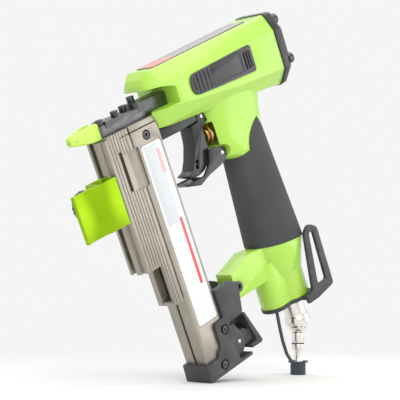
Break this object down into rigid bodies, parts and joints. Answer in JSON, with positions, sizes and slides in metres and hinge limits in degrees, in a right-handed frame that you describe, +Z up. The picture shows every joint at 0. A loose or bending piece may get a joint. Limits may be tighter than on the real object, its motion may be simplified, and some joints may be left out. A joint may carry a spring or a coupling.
{
  "type": "pneumatic pin nailer",
  "caption": "Compressed-air tool that drives thin headless pins: barrel with driver, trigger with safety lever, sliding pin magazine, edge guide, belt hook and swivel air plug.",
  "frame": {"origin": "middle of the base of the whole tool, on the surface it stands on", "axes": "+Z up, -X the way the pins are driven (leaned down), -Y the side with the belt hook, +Y the side with the guide knob"},
  "size_m": [0.2483, 0.0434, 0.2744],
  "materials": {
    "green_paint": "glossy yellow-green powder coat on cast metal",
    "green_anodised": "satin green anodised extrusion",
    "green_rubber": "soft yellow-green elastomer",
    "black_plastic": "fine matt black",
    "black_coat": "satin black coating on metal",
    "grip_rubber": "soft matt black rubber",
    "seal_rubber": "plain black seal rubber",
    "champagne": "fine satin champagne anodised",
    "nose_steel": "dark hardened steel, finely ground",
    "bright_steel": "plated, bright",
    "plug_steel": "nickel plated, slightly warm",
    "screw_steel": "black oxide",
    "brass": "turned brass",
    "label": "bare off-white foil",
    "strip": "bare greyish foil"
  },
  "bodies": {
    "tool": {"housing": "green_paint", "cylinder_liner": "bright_steel", "bumper": "seal_rubber", "head_valve_spring": "bright_steel", "rear_cap": "black_coat", "cap_gasket": "seal_rubber", "cap_screws": "screw_steel", "top_strip": "strip", "side_plates": "black_plastic", "grip_sleeve": "grip_rubber", "belt_hook": "black_coat", "hook_screws": "screw_steel", "swivel_socket": "plug_steel", "tether_strap": "grip_rubber", "trigger_pin": "bright_steel", "lever_pin": "bright_steel", "valve_body": "brass", "valve_spring": "bright_steel", "nose_base": "nose_steel", "nose_plate": "nose_steel", "nose_blade": "nose_steel", "nose_screws": "screw_steel", "lockout_housing": "black_coat", "magazine_body": "champagne", "magazine_bar": "champagne", "magazine_screw": "screw_steel", "magazine_label": "label", "pin_strip": "bright_steel", "end_bracket": "black_coat", "bracket_screws": "bright_steel", "arm_bolt": "screw_steel", "release_pin": "bright_steel"},
    "driver": {"driver_piston": "bright_steel", "piston_ring": "seal_rubber"},
    "head_valve": {"head_valve": "black_plastic"},
    "trigger": {"trigger": "black_coat"},
    "stem": {"valve_stem": "bright_steel"},
    "lever": {"safety_lever": "black_coat"},
    "cover": {"magazine_cover": "champagne", "pusher_roll": "bright_steel", "roll_axle": "bright_steel"},
    "pusher": {"pusher": "bright_steel"},
    "release": {"release_lever": "black_plastic"},
    "lockout": {"lockout_slide": "nose_steel"},
    "guide": {"edge_guide": "green_anodised", "guide_clamp": "black_coat"},
    "knob": {"guide_knob": "black_plastic"},
    "tip": {"nose_tip": "green_rubber"},
    "ball": {"swivel_ball": "plug_steel"},
    "plug": {"air_plug": "plug_steel", "plug_ring": "seal_rubber"},
    "cap": {"dust_cap": "grip_rubber"}
  },
  "joints": [
    {"name": "driver_stroke", "type": "slide", "parent": "tool", "child": "driver", "axis": [-0.9102, 0, -0.4142], "range_m": [0, 0.055]},
    {"name": "head_valve_lift", "type": "slide", "parent": "tool", "child": "head_valve", "axis": [0.9102, 0, 0.4142], "range_m": [0, 0.0028], "stiffness_N_per_m": 1500, "springref_m": -0.002},
    {"name": "trigger_pull", "type": "hinge", "parent": "tool", "child": "trigger", "pos_m": [-0.0028, 0, 0.19106], "axis": [0, -1, 0], "range_deg": [0, 4.5], "stiffness_Nm_per_rad": 1, "springref_deg": -8.59},
    {"name": "valve_stem_push", "type": "slide", "parent": "tool", "child": "stem", "axis": [0.9102, 0, 0.4142], "range_m": [0, 0.0013]},
    {"name": "safety_lever_pull", "type": "hinge", "parent": "tool", "child": "lever", "pos_m": [0.01638, 0, 0.16606], "axis": [0, -1, 0], "range_deg": [0, 10], "stiffness_Nm_per_rad": 0.4, "springref_deg": -17.19},
    {"name": "cover_slide", "type": "slide", "parent": "tool", "child": "cover", "axis": [0.4142, 0, -0.9102], "range_m": [0, 0.045]},
    {"name": "pusher_travel", "type": "slide", "parent": "cover", "child": "pusher", "axis": [0.4142, 0, -0.9102], "range_m": [0, 0.022], "stiffness_N_per_m": 40, "springref_m": -0.08},
    {"name": "release_press", "type": "hinge", "parent": "tool", "child": "release", "pos_m": [0.03202, 0, 0.02881], "axis": [0, 1, 0], "range_deg": [0, 7], "stiffness_Nm_per_rad": 0.5, "springref_deg": -11.46},
    {"name": "lockout_travel", "type": "slide", "parent": "tool", "child": "lockout", "axis": [0.9102, 0, 0.4142], "range_m": [0, 0.0025], "stiffness_N_per_m": 300, "springref_m": -0.003},
    {"name": "guide_adjust", "type": "slide", "parent": "cover", "child": "guide", "axis": [-0.4142, 0, 0.9102], "range_m": [-0.03, 0.012]},
    {"name": "guide_knob_turn", "type": "hinge", "parent": "guide", "child": "knob", "pos_m": [-0.09368, 0, 0.12399], "axis": [0, 1, 0], "continuous": true},
    {"name": "nose_tip_pull", "type": "slide", "parent": "tool", "child": "tip", "axis": [-0.9102, 0, -0.4142], "range_m": [0, 0.022]},
    {"name": "swivel_tilt", "type": "hinge", "parent": "tool", "child": "ball", "pos_m": [0.10688, 0, 0.042], "axis": [0, -1, 0], "range_deg": [0, 48]},
    {"name": "plug_spin", "type": "hinge", "parent": "ball", "child": "plug", "pos_m": [0.10688, 0, 0.042], "axis": [0, 0, 1], "continuous": true},
    {"name": "dust_cap_pull", "type": "slide", "parent": "ball", "child": "cap", "axis": [0, 0, -1], "range_m": [0, 0.016]}
  ],
  "couplings": [
    {"joint": "valve_stem_push", "follows": "trigger_pull", "m_per_rad": 0.0155}
  ]
}
